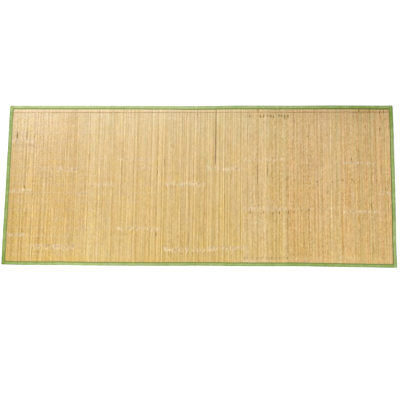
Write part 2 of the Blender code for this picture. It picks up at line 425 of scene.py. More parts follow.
# The bamboo's patterns. Columns: repeats per metre along the mat, across it and upwards; how detailed
# it is; and whether it is one value or a colour, whose three parts differ
BAMBOO_PATTERNS = {
    "Fibre": ((2600, 24, 900), 3, "Fac"), "Pores": ((5200, 140, 900), 1, "Fac"),
    "Patches": ((90, 90, 0), 2, "Color"), "Stretches": ((40, 6, 0), 2, "Color"),
    "Clouds": ((28, 14, 0), 2, "Color"),
}
PORES_SHOW = (0.6, 0.72)
SEED_SHIFT = 390.0


def bamboo_fibre_group():
    """Fibres and short dark pores along a slat, and the uneven tone of its patches and stretches.
    They differ from slat to slat, and only the clouds lie over many slats."""
    kinds = {name: "Float" if output == "Fac" else output for name, (_, _, output) in BAMBOO_PATTERNS.items()}
    tree, given, out = new_group("Bamboo fibres", {"Place": "Vector", "Seed": "Float"}, kinds)
    own_shift = times(given["Seed"], SEED_SHIFT)
    for name, (per_metre, detail, output) in BAMBOO_PATTERNS.items():
        shift = (0, 0, 0) if name == "Clouds" else own_shift
        pattern = noise(stretched(given["Place"], per_metre, shift), detail, output)
        if name == "Pores":
            pattern = eased_mask(pattern, *PORES_SHOW)
        join(pattern, out[name])
    return tree


def ragged_mark_group():
    """The ragged pale band at a bamboo node, the dark band of a stain, or one dark spot. The surface
    of a pale band is scribbled over with lighter and darker strokes."""
    RAGGED_PER_METRE = (700, 150, 0)
    RAGGED_BY = 2.4
    BAND_EDGE = (1.4, 0.6)
    SCRIBBLES_PER_METRE = (120, 60, 0)
    tree, given, out = new_group(
        "Ragged mark",
        {"Place": "Vector", "Middle": "Float", "Reach": "Float", "Rounding": "Float", "Shade": "Float"},
        {"Pale": "Float", "Dark": "Float", "Swirl": "Float", "Scribble": "Float"})
    ragged = noise(stretched(given["Place"], RAGGED_PER_METRE))
    join(ragged, out["Swirl"])
    across = parted(given["Place"])["Y"]
    away = calc("ABSOLUTE", calc("SUBTRACT", across, given["Middle"]))
    share = calc("ADD", calc("DIVIDE", away, given["Reach"]), given["Rounding"])
    share = calc("ADD", share, times(calc("SUBTRACT", ragged, 0.5), RAGGED_BY))
    band = eased_mask(share, *BAND_EDGE)
    pale = times(band, calc("MAXIMUM", given["Shade"], 0.0))
    join(pale, out["Pale"])
    scribble = noise(stretched(given["Place"], SCRIBBLES_PER_METRE))
    join(times(pale, calc("SUBTRACT", scribble, 0.5)), out["Scribble"])
    dark = calc("MAXIMUM", times(given["Shade"], -1.0), 0.0)
    join(times(band, dark), out["Dark"])
    return tree


def split_bamboo():
    """Planed bamboo, satin: straw to caramel from slat to slat, with fibres, pores and node bands."""
    DEEP_HONEY = (0.429, 0.273, 0.081, 1)
    PALE_HONEY = (0.684, 0.507, 0.242, 1)
    STRAW_TINT = (0.98, 1.00, 1.13, 1)
    CARAMEL_TINT = (1.02, 1.00, 0.87, 1)
    LEAF_TINT = (0.96, 1.02, 1.00, 1)
    ROSE_TINT = (1.04, 0.98, 1.00, 1)
    NODE_CREAM = (0.575, 0.450, 0.305, 1)
    PORE_BROWN = (0.26, 0.15, 0.05, 1)
    STAIN_BROWN = (0.105, 0.052, 0.010, 1)
    SPOT_BROWN = (0.230, 0.125, 0.006, 1)
    SIDE_SHADE_BROWN = (0.125, 0.062, 0.012, 1)
    DYE_AND_SHADOW_TINT = (0.76, 0.90, 0.72, 1)
    DARKER_TINT = (0.91, 0.90, 0.87, 1)
    END_PALE = (0.80, 0.62, 0.36, 1)
    END_GOLD = (0.72, 0.46, 0.11, 1)

    # How far patches, stretches and clouds stray in lightness, in warmth and in rose or leaf
    STRAYS = {"Patches": (1.05, 1.1, 0.45), "Stretches": (0.85, 0.4, 0.3), "Clouds": (0.2, 1.6, 1.2)}
    BLEACHED_WARMTH = -0.11
    FIBRE_LIGHT = 0.55
    SCRIBBLE_LIGHT = 8.0
    DARKEST = -0.5
    LIGHTEST = 1.7

    # How strongly each mark covers or tints the bamboo
    PORES_SHARE = 0.22
    NODE_SHARE = 0.54
    STAIN_SHARE = 0.7
    SPOT_STRENGTH = 1.6
    SPOT_MOST = 0.97
    FAR_PALE_SHARE = 0.16
    NEAR_PALE_SHARE = 0.12
    DYE_AND_SHADOW_SHARE = 0.5
    DYE_AND_SHADOW_FAR_RIGHT = 1.3

    # How rough the bamboo is, how much rougher it is in places, and how far its relief stands out
    ROUGHNESS = 0.20
    FIBRE_ROUGHER = 0.14
    NODE_ROUGHER = 0.15
    SIDE_ROUGHER = 0.4
    SPOT_ROUGHER = 0.4
    PORE_RELIEF = -0.6
    NODE_RELIEF = 1.2
    RELIEF_DEPTH = 0.04 * MM

    # Masks over the mat: where each begins and where it is full, in metres from the mat's middle
    BLEACHED_ALONG = (0.3, -0.9)
    FAR_ENDS = (0.352, 0.358)
    NEAR_ENDS = (-0.330, -0.350)
    RIGHT_PART = (0.12, 0.26)
    DARKER_ALONG = (0.1, 0.55)
    DARKER_ACROSS = (0.27, 0.34)
    ENDS_DARKER_LATER = 0.4
    BY_LONG_BINDING = (0.3605, 0.3655)
    BY_SHORT_BINDING = (0.8920, 0.8975)
    FAR_RIGHT_ALONG = (0.1, 0.8)
    FAR_RIGHT_ACROSS = (0.1, 0.3)

    material, tree, shader, place = fresh_material("split_bamboo")
    fibres = placed(bamboo_fibre_group(), Place=place, Seed=noted(tree, "slat_seed"))
    ragged_mark = ragged_mark_group()
    marks = placed(ragged_mark, Place=place, Middle=noted(tree, "mark_middle"),
                   Reach=noted(tree, "mark_reach"), Shade=noted(tree, "mark_shade"))
    spots = placed(ragged_mark, Place=place, Middle=noted(tree, "spot_middle"),
                   Reach=noted(tree, "spot_reach"), Shade=noted(tree, "spot_shade"),
                   Rounding=noted(tree, "spot_rounding"))
    side = noted(tree, "slat_side")

    # Tone: the slat's own, with its patches and stretches. Each of the three parts is 0.5 at rest
    tone = noted(tree, "slat_tone", "Vector")
    for pattern, stray in STRAYS.items():
        strayed = calc("SUBTRACT", fibres[pattern], (0.5, 0.5, 0.5), kind="VectorMath")
        if pattern == "Patches":
            strayed = calc("MULTIPLY", strayed, noted(tree, "slat_mottle"), kind="VectorMath")
        tone = calc("MULTIPLY_ADD", strayed, stray, tone, kind="VectorMath")
    light, warmth, rose = parted(tone)
    along, across, _ = parted(place)

    # Along the rows of pale thread the bamboo is less golden, most so at the left end
    turns = times(calc("SUBTRACT", across, ROW_OFFSET), math.tau / ROW_PITCH)
    bleached = times(calc("COSINE", turns), eased_mask(along, *BLEACHED_ALONG))
    warmth = calc("MULTIPLY_ADD", bleached, BLEACHED_WARMTH, warmth)
    light = calc("MULTIPLY_ADD", calc("SUBTRACT", fibres["Fibre"], 0.5), FIBRE_LIGHT, light)
    light = calc("MULTIPLY_ADD", marks["Scribble"], SCRIBBLE_LIGHT, light)
    light = calc("MINIMUM", calc("MAXIMUM", light, DARKEST), LIGHTEST)
    colour = mixed(light, DEEP_HONEY, PALE_HONEY)
    colour = mixed(1.0, colour, mixed(warmth, STRAW_TINT, CARAMEL_TINT), "MULTIPLY")
    colour = mixed(1.0, colour, mixed(rose, LEAF_TINT, ROSE_TINT), "MULTIPLY")
    for mask, cover, share in ((fibres["Pores"], PORE_BROWN, PORES_SHARE),
                               (marks["Pale"], NODE_CREAM, NODE_SHARE),
                               (marks["Dark"], STAIN_BROWN, STAIN_SHARE)):
        colour = mixed(times(mask, share), colour, cover)
    spot = calc("MINIMUM", times(spots["Dark"], SPOT_STRENGTH), SPOT_MOST)
    colour = mixed(spot, colour, SPOT_BROWN)

    # Towards the bindings the slats are paler at the far side and more golden at the near one, up to
    # about the tenth culm; from there on the far ends are darker and the near ends pale
    far_ends = eased_mask(across, *FAR_ENDS)
    right_part = eased_mask(along, *RIGHT_PART)
    far_pale = times(far_ends, calc("SUBTRACT", 1.0, right_part))
    colour = mixed(times(far_pale, FAR_PALE_SHARE), colour, END_PALE)
    near_pale = times(eased_mask(across, *NEAR_ENDS), NEAR_PALE_SHARE)
    colour = mixed(near_pale, colour, mixed(right_part, END_GOLD, END_PALE))
    darker_from = calc("MULTIPLY_ADD", far_ends, -ENDS_DARKER_LATER, along)
    darkening = times(eased_mask(darker_from, *DARKER_ALONG), eased_mask(across, *DARKER_ACROSS))
    colour = mixed(darkening, colour, DARKER_TINT, "MULTIPLY")

    # Beside the bindings the slats are darker and greener: partly green dye run onto them, partly painted
    # shadow under the bindings' edges, most of all at the far right
    by_long = eased_mask(calc("ABSOLUTE", across), *BY_LONG_BINDING)
    by_short = eased_mask(calc("ABSOLUTE", along), *BY_SHORT_BINDING)
    far_right = times(eased_mask(along, *FAR_RIGHT_ALONG), eased_mask(across, *FAR_RIGHT_ACROSS))
    strength = calc("MULTIPLY_ADD", far_right, DYE_AND_SHADOW_FAR_RIGHT, DYE_AND_SHADOW_SHARE)
    bled_and_shaded = times(calc("MAXIMUM", by_long, by_short), strength)
    colour = mixed(bled_and_shaded, colour, DYE_AND_SHADOW_TINT, "MULTIPLY")
    # The slats' upright sides take a dark brown: partly unplaned bamboo, partly painted shade in the gaps
    colour = mixed(side, colour, SIDE_SHADE_BROWN)
    join(colour, shader["Base Color"])

    roughness = calc("MULTIPLY_ADD", fibres["Fibre"], FIBRE_ROUGHER, ROUGHNESS)
    spotted = calc("MINIMUM", spots["Dark"], 1.0)
    for mask, rougher in ((marks["Pale"], NODE_ROUGHER), (side, SIDE_ROUGHER), (spotted, SPOT_ROUGHER)):
        roughness = calc("MULTIPLY_ADD", mask, rougher, roughness)
    join(roughness, shader["Roughness"])
    relief = calc("MULTIPLY_ADD", fibres["Pores"], PORE_RELIEF, fibres["Fibre"])
    relief = calc("MULTIPLY_ADD", times(marks["Pale"], marks["Swirl"]), NODE_RELIEF, relief)
    bumped(shader, relief, RELIEF_DEPTH)
    return material


slat_sides, slat_ends = tube_faces(SLAT_COUNT, ROWS_PER_SLAT, len(SLAT_SECTION))
slat_panel = mesh_piece("bamboo_slats", slat_points, slat_sides + slat_ends, split_bamboo(), sharp=30)

# Tones: the culm's, the slat's own chance, and the slats that stand out. Light is a factor, warmth
# goes from -1, straw, to 1, caramel, and rose from -1, leaf, to 1. A slat looks lighter beside darker
# ones. The far ends are less warm in the left part, which is painted sheen, and less rosy everywhere
LIGHT_CHANCE = 0.078
WARMTH_CHANCE = 0.19
ROSE_CHANCE = 0.13
LIGHT_RANGE = 0.6
NEIGHBOUR_CONTRAST = (-0.2, -0.5, 1.0, -0.5, -0.2)
WARMER = 0.06
FAR_END_SHARE = 0.7
FAR_END_LESS_WARM = 0.25
FAR_END_LESS_ROSE = 0.12
MIDDLE_ROSIER = 0.5
ROSE_LEVEL = 0.6

# From the first to the second of these places, in metres, the slats take on the right part's
# character: lightness differs less from slat to slat there, and rose far more
RIGHT_LIGHT_FROM = (0.18, 0.3)
RIGHT_LIGHT_CHANGE = -0.35
RIGHT_ROSE_FROM = (0.2, 0.75)
RIGHT_ROSE_CHANGE = 4.6
LEFT_PART_UNTIL = 0.04

culm = np.clip(np.searchsorted([row[0] * MM for row in CULMS], slat_places), 0, len(CULMS) - 1)
far_light, far_warmth, near_light, near_warmth, rosy = np.array(CULMS)[culm, 1:].T
chance = random.normal(0, 1, (3, SLAT_COUNT)) * [[LIGHT_CHANCE], [WARMTH_CHANCE], [ROSE_CHANCE]]
chance[0] = np.convolve(chance[0], NEIGHBOUR_CONTRAST, mode="same")
chance[0] *= 1 + RIGHT_LIGHT_CHANGE * eased_step(slat_places, *RIGHT_LIGHT_FROM)
chance[2] *= 1 + RIGHT_ROSE_CHANGE * eased_step(slat_places, *RIGHT_ROSE_FROM)
for place, light, *tint in NOTED_SLATS:
    chance[:, np.argmin(abs(slat_places - place * MM))] = light - 1, *(tint or (0, 0))
farness = (row_places - panel_low.y) / (panel_high.y - panel_low.y)


def near_to_far(near, far):
    """A tone for each row of each slat, which goes evenly from its near end to its far one."""
    return near[:, None] + (far - near)[:, None] * farness


far_loss = eased_step(farness, FAR_END_SHARE, 1)
slat_light = near_to_far(near_light, far_light) + chance[0][:, None]
slat_warmth = near_to_far(near_warmth, far_warmth) + chance[1][:, None]
slat_warmth += WARMER - FAR_END_LESS_WARM * far_loss * (slat_places < LEFT_PART_UNTIL)[:, None]
slat_rose = (rosy + chance[2])[:, None] + MIDDLE_ROSIER * (4 * farness * (1 - farness) - ROSE_LEVEL)
slat_rose -= FAR_END_LESS_ROSE * far_loss
slat_tone = 0.5 + np.stack([(slat_light - 1) / LIGHT_RANGE, slat_warmth / 2, slat_rose / 2], axis=-1)
point_shape = slat_points.shape[:3]
note(slat_panel, "slat_tone", np.broadcast_to(slat_tone[:, :, None], (*point_shape, 3)), kind="FLOAT_VECTOR")
note(slat_panel, "slat_seed", np.broadcast_to(slat_seed[:, None, None], point_shape))

# The slats at both ends of the mat are more mottled than those in the middle, and some more than others
LEFT_MOTTLE = 0.15
LEFT_MOTTLE_FROM = (0.4, 0.7)
RIGHT_MOTTLE = 0.5
LEAST_MOTTLED = 0.7
MOTTLE_CHANCE = 0.6
slat_mottle = 1 + LEFT_MOTTLE * eased_step(-slat_places, *LEFT_MOTTLE_FROM)
slat_mottle += RIGHT_MOTTLE * eased_step(slat_places, *RIGHT_LIGHT_FROM)
slat_mottle *= LEAST_MOTTLED + MOTTLE_CHANCE * slat_seed
note(slat_panel, "slat_mottle", np.broadcast_to(slat_mottle[:, None, None], point_shape))

# Each face of a slat knows the mark that is nearest to it. A mark's shade and place differ a little
# from slat to slat
MARK_SHADES = (0.15, 1.25)
MARK_STRAY = 0.3
face_places = (row_places[:, 1:] + row_places[:, :-1]) / 2
nearest = np.full(face_places.shape, np.inf)
marks = np.zeros((3, *face_places.shape))
marks[1] = 1
for start, end, place, half_height, shade in NODES:
    slat_shade = shade * random.uniform(*MARK_SHADES, SLAT_COUNT)
    slat_place = place * MM + random.normal(0, MARK_STRAY * half_height * MM, SLAT_COUNT)
    distance = abs(face_places - slat_place[:, None]) / half_height
    found = (distance < nearest) & ((slat_places > start * MM) & (slat_places < end * MM))[:, None]
    nearest = np.where(found, distance, nearest)
    values = (slat_place[:, None], np.full((SLAT_COUNT, 1), half_height * MM), slat_shade[:, None])
    marks = np.stack([np.where(found, value, mark) for value, mark in zip(values, marks)])

# Each face of a spotted slat knows its nearest spot. A spot is rounder than a band: it is narrower than
# the slat, so it grows weaker from the slat's middle to its sides
SPOT_ROUNDING = 0.5
nearest = np.full(face_places.shape, np.inf)
spots = np.zeros((3, *face_places.shape))
spots[1] = 1
for along, place, half_height, dark in SPOTS:
    slat = np.searchsorted(seam_line(np.arange(SEAM_COUNT), place * MM), along * MM) - 1
    distance = abs(face_places[slat] - place * MM)
    found = distance < nearest[slat]
    nearest[slat, found] = distance[found]
    spots[:, slat, found] = np.array([place * MM, half_height * MM, -dark])[:, None]
for kind, values in (("mark", marks), ("spot", spots)):
    for part, value in zip(("middle", "reach", "shade"), values):
        all_faces = np.append(np.repeat(value, len(SLAT_SECTION)), np.ones(len(slat_ends)))
        note(slat_panel, f"{kind}_{part}", all_faces, domain="FACE")
from_middle = np.array([abs(edge) for edge, *_ in SLAT_SECTION]) * SPOT_ROUNDING
note(slat_panel, "spot_rounding", np.broadcast_to(from_middle, point_shape))
is_side = np.isin(np.arange(len(SLAT_SECTION)), SIDE_FACES).astype(float)
all_faces = np.append(np.tile(is_side, face_places.size), np.zeros(len(slat_ends)))
note(slat_panel, "slat_side", all_faces, domain="FACE")

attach(slat_panel, "root")
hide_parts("slat_panel")


# Thread rows. Seventeen rows of thin pale cotton run the whole length of the mat, on both faces.
# Each row is sewn by machine: the thread lies over every slat and dips into the seam beside it,
# where it locks with the thread of the other face.

ROW_COUNT = 17
ROW_WANDER = 0.6 * MM
ROW_WANDER_LENGTH = 120 * MM
SHOULDER = 0.9 * MM
THREAD_DIP = 0.42 * MM
SHOULDER_DIP = 0.05 * MM
STANDS_PROUD = 0.75
PALE_THREAD = 0.45 * MM
THREAD_SIDES = 4

# The thread is cleaner, and so paler, the further left of this place it is, and by so much more on
# some stretches. Columns: row, counted from the middle one; from and to, in mm
CLEANER_LEFT_OF = 150 * MM
CLEAN_SHARE = 0.4
CLEAN_STRETCHES = [(0, -895, -115), (-1, -895, -690), (-1, -380, -130), (1, 60, 213), (3, 665, 833)]


def thread_path(y_middle, face, radius):
    """Points along a thread row on the top (1) or the bottom (-1) face: over each slat, into each seam."""
    seam_y = y_middle + ROW_WANDER * uneven(slat_places, ROW_WANDER_LENGTH)
    seam_y = np.append(seam_y, seam_y[-1])
    seam_x = seam_line(np.arange(SEAM_COUNT), seam_y)
    rise = SLAT_THICKNESS / 2 * (1 + face) + face * radius * STANDS_PROUD
    left, right = seam_x[:-1], seam_x[1:]
    points = []
    for x, share, dip in ((left, 0, THREAD_DIP), (left + SHOULDER, 1 / 3, SHOULDER_DIP),
                          (right - SHOULDER, 2 / 3, SHOULDER_DIP)):
        y = seam_y[:-1] + (seam_y[1:] - seam_y[:-1]) * share
        points.append(np.stack([x, y, underside(slats, x, y) + rise - face * dip], axis=-1))
    return np.stack(points, axis=1).reshape(-1, 3)


def thread_rings(path, radius, across=(0, 1, 0)):
    """Four points round each point of a thread's path, or of many paths, by the way across it."""
    turns = (np.arange(THREAD_SIDES) + 0.5) / THREAD_SIDES * math.tau
    ring = np.cos(turns)[:, None] * np.array(across)[..., None, :] + np.sin(turns)[:, None] * [0, 0, 1]
    return path[..., None, :] + ring * radius


def thread_ply_group():
    """Twisted plies of a sewing thread, and the small changes of tone along it."""
    SLANT = 1.5
    PLY_TONE = 0.12
    TONES_PER_METRE = (60, 60, 0)
    tree, given, out = new_group(
        "Thread plies", {"Place": "Vector", "Plies": "Float"}, {"Height": "Float", "Tone": "Float"})
    along, across, height = parted(given["Place"])
    slant = calc("ADD", calc("ADD", along, across), times(height, SLANT))
    wave = calc("SINE", times(slant, times(given["Plies"], math.tau)))
    join(wave, out["Height"])
    slow = noise(stretched(given["Place"], TONES_PER_METRE))
    join(calc("MULTIPLY_ADD", wave, PLY_TONE, slow), out["Tone"])
    return tree


thread_plies = thread_ply_group()


def sewing_thread(name, dark, pale, plies_per_metre, faded=None):
    """Cotton thread between two tones. Where a faded one is given, the piece's own mask mixes it in."""
    TONE_RANGE = (0.25, 0.75)
    ROUGHNESS = 0.72
    TONE_ROUGHER = 0.1
    PLY_DEPTH = 0.04 * MM
    material, tree, shader, place = fresh_material(name)
    plies = placed(thread_plies, Place=place, Plies=plies_per_metre)
    colour = mixed(eased_mask(plies["Tone"], *TONE_RANGE), dark, pale)
    if faded is not None:
        colour = mixed(noted(tree, "faded"), colour, faded)
    join(colour, shader["Base Color"])
    join(calc("MULTIPLY_ADD", plies["Tone"], TONE_ROUGHER, ROUGHNESS), shader["Roughness"])
    bumped(shader, plies["Height"], PLY_DEPTH)
    return material


def thread_piece(name, paths, radii, material, faded=None):
    """A piece of many threads, each along its own path, and how faded each point of them is."""
    points = np.stack([thread_rings(path, radius) for path, radius in zip(paths, radii)])
    sides, ends = tube_faces(len(paths), points.shape[1], THREAD_SIDES)
    piece = mesh_piece(name, points, sides + ends, material, sharp=80)
    if faded is not None:
        note(piece, "faded", np.repeat(faded, THREAD_SIDES))
    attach(piece, "root")
    return piece


rows = np.arange(ROW_COUNT) - ROW_COUNT // 2
cream_cotton = sewing_thread("cream_cotton", (0.52, 0.38, 0.20, 1), (0.64, 0.48, 0.28, 1), 1700.0,
                             faded=(0.76, 0.60, 0.58, 1))
for face, name in ((1, "thread_rows_top"), (-1, "thread_rows_under")):
    paths = [thread_path(row * ROW_PITCH + ROW_OFFSET, face, PALE_THREAD / 2) for row in rows]
    clean = [np.clip(CLEANER_LEFT_OF - path[:, 0], 0, 1) for path in paths]
    for row, start, end in CLEAN_STRETCHES:
        x = paths[row + ROW_COUNT // 2][:, 0]
        clean[row + ROW_COUNT // 2] += CLEAN_SHARE * ((x > start * MM) & (x < end * MM))
    radii = [PALE_THREAD / 2] * ROW_COUNT
    thread_piece(name, paths, radii, cream_cotton, np.concatenate(clean))


# Coloured thread rows. Just inside each long binding one more row holds the slats' ends. The far one
# is a thick twin row in red-brown cotton, faded to tan but for its right end. The near one is a single
# thin thread, faded to orange.

FAR_RED_ROW = 350 * MM
NEAR_RED_ROW = -353 * MM
RED_THREAD = 1.25 * MM
RED_SPACING = 1.3 * MM
FADED_THREAD = 0.6 * MM
TAN_UNTIL = 250 * MM
RED_FROM = 500 * MM

# The short bindings press the far row down, and it ends under them
PRESSED_FROM = 890 * MM
PRESSED_FULLY = 896.5 * MM
PRESSED_BY = 0.8 * MM
RED_ROW_END = 900 * MM

red_cotton = sewing_thread("red_brown_cotton", (0.26, 0.105, 0.020, 1), (0.34, 0.150, 0.035, 1), 1100.0,
                           faded=(0.47, 0.29, 0.13, 1))
faded_cotton = sewing_thread("faded_orange_cotton", (0.60, 0.27, 0.11, 1), (0.78, 0.42, 0.20, 1), 1300.0)
red_paths = []
for face, twin in ((1, -1), (1, 1), (-1, -1), (-1, 1)):
    path = thread_path(FAR_RED_ROW + twin * RED_SPACING / 2, face, RED_THREAD / 2)
    path[:, 2] -= face * PRESSED_BY * eased_step(abs(path[:, 0]), PRESSED_FROM, PRESSED_FULLY)
    red_paths.append(path)
clear_of_ends = abs(red_paths[0][:, 0]) < RED_ROW_END
red_paths = [path[clear_of_ends] for path in red_paths]
tan_part = np.concatenate([1 - eased_step(path[:, 0], TAN_UNTIL, RED_FROM) for path in red_paths])
radii = [RED_THREAD / 2] * len(red_paths)
thread_piece("red_thread_row_far", red_paths, radii, red_cotton, tan_part)
near_paths = [thread_path(NEAR_RED_ROW, face, FADED_THREAD / 2) for face in (1, -1)]
radii = [FADED_THREAD / 2] * len(near_paths)
thread_piece("red_thread_row_near", near_paths, radii, faded_cotton)


# Binding strips. Each side is edged with a strip of green plain-woven cotton, folded over the
# slats with both raw edges tucked under, so each flange is two cloths thick. The long strips go
# on first, and the ends of the short ones lap over them at the corners.

STITCH_LENGTH = 3.2 * MM
STITCH_INSET = 13.5 * MM
STITCH_PULL = 2.2 * MM
HOLE_DEPTH = 0.12 * MM

# How the inner edge wavers. The outer edge follows the frame's: the places less than a step apart along
# it are one cut, and it is read at so many places and softened over some on either side of each
STRIP_WAVER = 0.45 * MM
WAVER_LENGTH = 45 * MM
CUT_STEP = 0.8 * MM
EDGE_PLACES = 600
EDGE_SOFTENING = 15

# Puckers between the fold and the stitching, and the longer lumps that they lie on
PUCKER_HEIGHT = 0.12 * MM
PUCKER_LENGTH = 5 * MM
PUCKER_MIDDLE = 9 * MM
PUCKER_REACH = 4 * MM
LUMP_SHARE = 0.6
LUMP_LENGTH = 30 * MM

# A lap: how far from its end it is level, how long it slopes down from there, and how far its lower
# flange is trimmed away but for a short lip
LAP_LEVEL = 17.8 * MM
LAP_SLOPE = 5.5 * MM
LAP_TRIMMED = 16.3 * MM
TRIMMED_INSET = 1.3 * MM
TRIMMED_SHARE = 0.088

# How far an end's top sinks; then, on the long strips and on the short ones: the length of an end's
# rounding, how far it turns in, and how much the cloth's tone differs along it
END_DROP = 0.5 * MM
END_ROUND = (1.6 * MM, 3.0 * MM)
END_TURN_IN = (0.6 * MM, 2.2 * MM)
TONE_CHANCE = (0.05, 0.18)
TONE_LENGTH = 14 * MM

# Where the olive line begins, in mm from the mat's edge, and how soon it is full. Within 14 to 17 mm
# of the corners only a quarter of it shows
LINE_FROM = {"far": 11.5, "near": 11.5, "left": 13.2, "right": 12.6}
LINE_BLUR = 1.5
LINE_OFF_LAP = (14 * MM, 17 * MM)
LINE_ON_LAP = 0.25

# Threads of the woven cloth per metre
WOVEN_THREADS_PER_METRE = 2300.0

# The folded strip's section, once round from the inside of the fold. Columns, in mm: inset from
# the mat's edge, height, and the share (0 to 1) of a lap's rise that the point takes part in
STRIP_SECTION = [
    (2.2, 1.00, 0), (8.0, 1.00, 0), (15.2, 1.00, 0), (15.9, 0.75, 0), (15.9, 0.30, 0), (15.2, 0.04, 0),
    (13.5, 0.20, 0), (12.0, 0.02, 0), (7.0, 0.00, 0), (2.0, 0.00, 0), (0.75, 0.25, 0), (0.12, 1.00, 0.15),
    (0.0, 2.05, 0.5), (0.12, 3.10, 0.85), (0.75, 3.82, 1), (1.9, 4.06, 1), (4.0, 4.10, 1), (7.0, 4.08, 1),
    (10.0, 4.05, 1), (12.0, 3.97, 1), (12.9, 3.84, 1), (13.5, 3.58, 1), (14.1, 3.82, 1), (15.6, 3.90, 1),
    (16.6, 3.78, 1), (17.0, 3.45, 1), (16.6, 3.12, 1), (12.0, 3.10, 1), (6.0, 3.10, 1), (2.2, 3.10, 1),
    (1.3, 2.60, 0.75), (1.3, 1.50, 0.25),
]

# From the first height up a point is on the upper flange, and from the second one on its upper face
UPPER_FROM = 3.0 * MM
TOP_FROM = 3.2 * MM
section_inset, section_height, section_lift = np.array(STRIP_SECTION).T * [[MM], [MM], [1]]
section_steps = np.hypot(np.diff(section_inset), np.diff(section_height))
section_girth = np.concatenate([[0], np.cumsum(section_steps)])
LAP_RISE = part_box("binding_left")[1].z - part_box("binding_far")[1].z

# How each strip looks along it. Columns: place in mm; how pale the cloth is and how pale the line
# along its inner edge, from 0, deep, to 1; how far the inner edge lies in from its usual place, in
# mm; and how dark the fold is, from 0 to 1. The paleness is partly the cloth's own uneven tone and
# partly painted light: palest towards the far left, where the light falls, and deepest at the far right.
# The fold's darkness is painted shade
STRIP_LOOKS = {
    "far": [(-915, 1.00, 1.0, -0.8, 0.0), (-700, 1.18, 1.0, -0.8, 0.0), (-300, 1.00, 1.0, -0.8, 0.1),
            (-50, 0.92, 1.0, -0.2, 0.3), (100, 0.66, 0.8, 0.0, 0.4), (450, 0.52, 0.6, 0.3, 0.5),
            (600, 0.27, 0.2, 0.5, 0.5), (760, 0.05, 0.1, 0.6, 0.5), (915, 0.33, 0.1, 0.6, 0.6)],
    "near": [(-915, 0.15, 1.0, -0.6, 0.3), (-750, 0.60, 1.1, -0.8, 0.2), (-550, 0.80, 1.1, -0.8, 0.2),
             (-350, 0.66, 1.1, -0.8, 0.3), (-50, 0.42, 1.0, -0.5, 0.5), (200, 0.42, 1.0, -0.2, 0.9),
             (450, 0.23, 1.0, -0.2, 0.9), (550, 0.16, 1.0, -0.2, 0.9), (750, 0.40, 0.9, -0.4, 0.8),
             (915, 0.28, 0.9, -0.5, 0.8)],
    "left": [(-382, -0.20, 0.9, 0.4, 0.3), (-340, 0.00, 0.9, 0.4, 0.3), (-300, 0.30, 1.0, 0.4, 0.3),
             (-200, 0.20, 0.9, 0.4, 0.3), (-100, 0.40, 0.9, 0.4, 0.3), (90, 0.20, 1.1, 0.4, 0.2),
             (230, 0.50, 1.0, 0.5, 0.2), (350, 0.40, 1.0, 0.5, 0.2), (370, 0.85, 1.0, 0.5, 0.1),
             (382, 0.90, 1.0, 0.5, 0.1)],
    "right": [(-382, 0.35, 0.2, 0.0, 0.8), (-250, 0.56, 0.1, 0.0, 0.8), (-150, 0.36, 0.0, 0.3, 0.8),
              (0, 0.56, 0.1, 0.6, 0.8), (190, 0.44, 0.2, 1.0, 0.8), (245, 0.42, 0.4, 1.0, 0.8),
              (285, 0.00, 0.7, 1.0, 0.8), (382, -0.15, 0.7, 0.6, 0.8)],
}

# Sides: name, outward direction, and whether its strip's ends lap over the others
SIDES = [("far", (0, 1), False), ("near", (0, -1), False), ("left", (-1, 0), True), ("right", (1, 0), True)]


